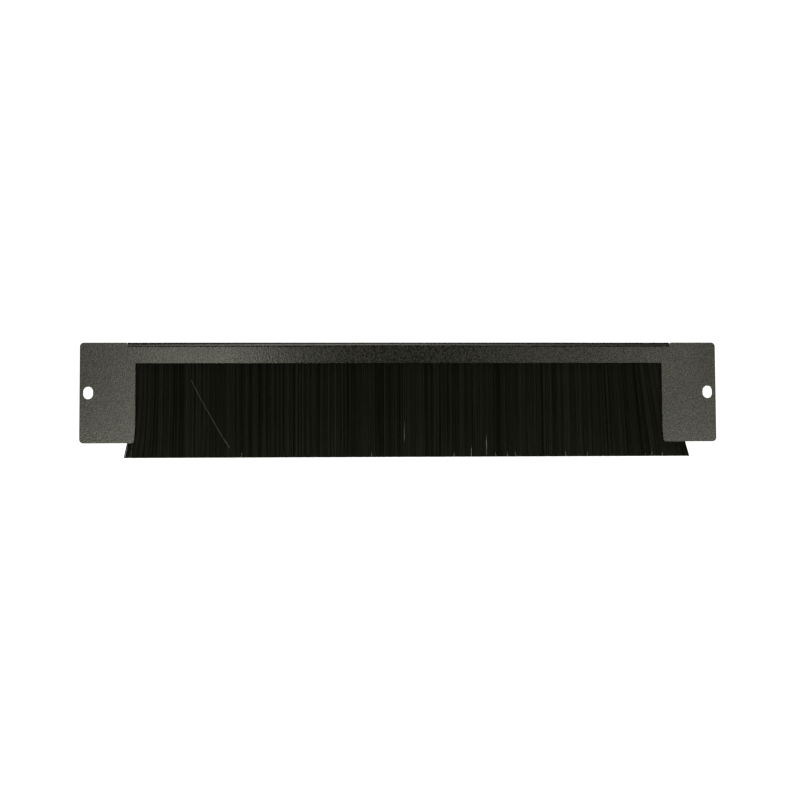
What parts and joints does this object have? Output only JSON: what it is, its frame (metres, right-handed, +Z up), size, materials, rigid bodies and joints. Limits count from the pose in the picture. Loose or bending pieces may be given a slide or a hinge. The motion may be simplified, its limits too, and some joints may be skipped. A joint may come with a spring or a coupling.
{
  "type": "rack brush strip panel",
  "caption": "Black steel rack panel with a wide cable window that is open at the bottom, closed by a hanging strip of bristles that cables pass through.",
  "frame": {"origin": "midway between the two mounting slots, on the back face of the ears", "axes": "+X along the panel, to the right as seen from the front; +Y into the rack; +Z up"},
  "size_m": [0.4776, 0.02, 0.0864],
  "materials": {
    "powder_coat": "fine-textured semi-matt dark powder coat",
    "bristle": "fine black nylon filaments",
    "carrier": "satin black anodised",
    "channel": "zinc-plated strip",
    "wire": "bright drawn wire",
    "fixings": "bright zinc-plated"
  },
  "bodies": {
    "root": {"panel": "powder_coat", "brush_carrier": "carrier", "brush_channel": "channel", "core_wire": "wire", "bristles": "bristle", "studs": "fixings", "washers": "fixings", "nuts": "fixings"}
  },
  "joints": []
}
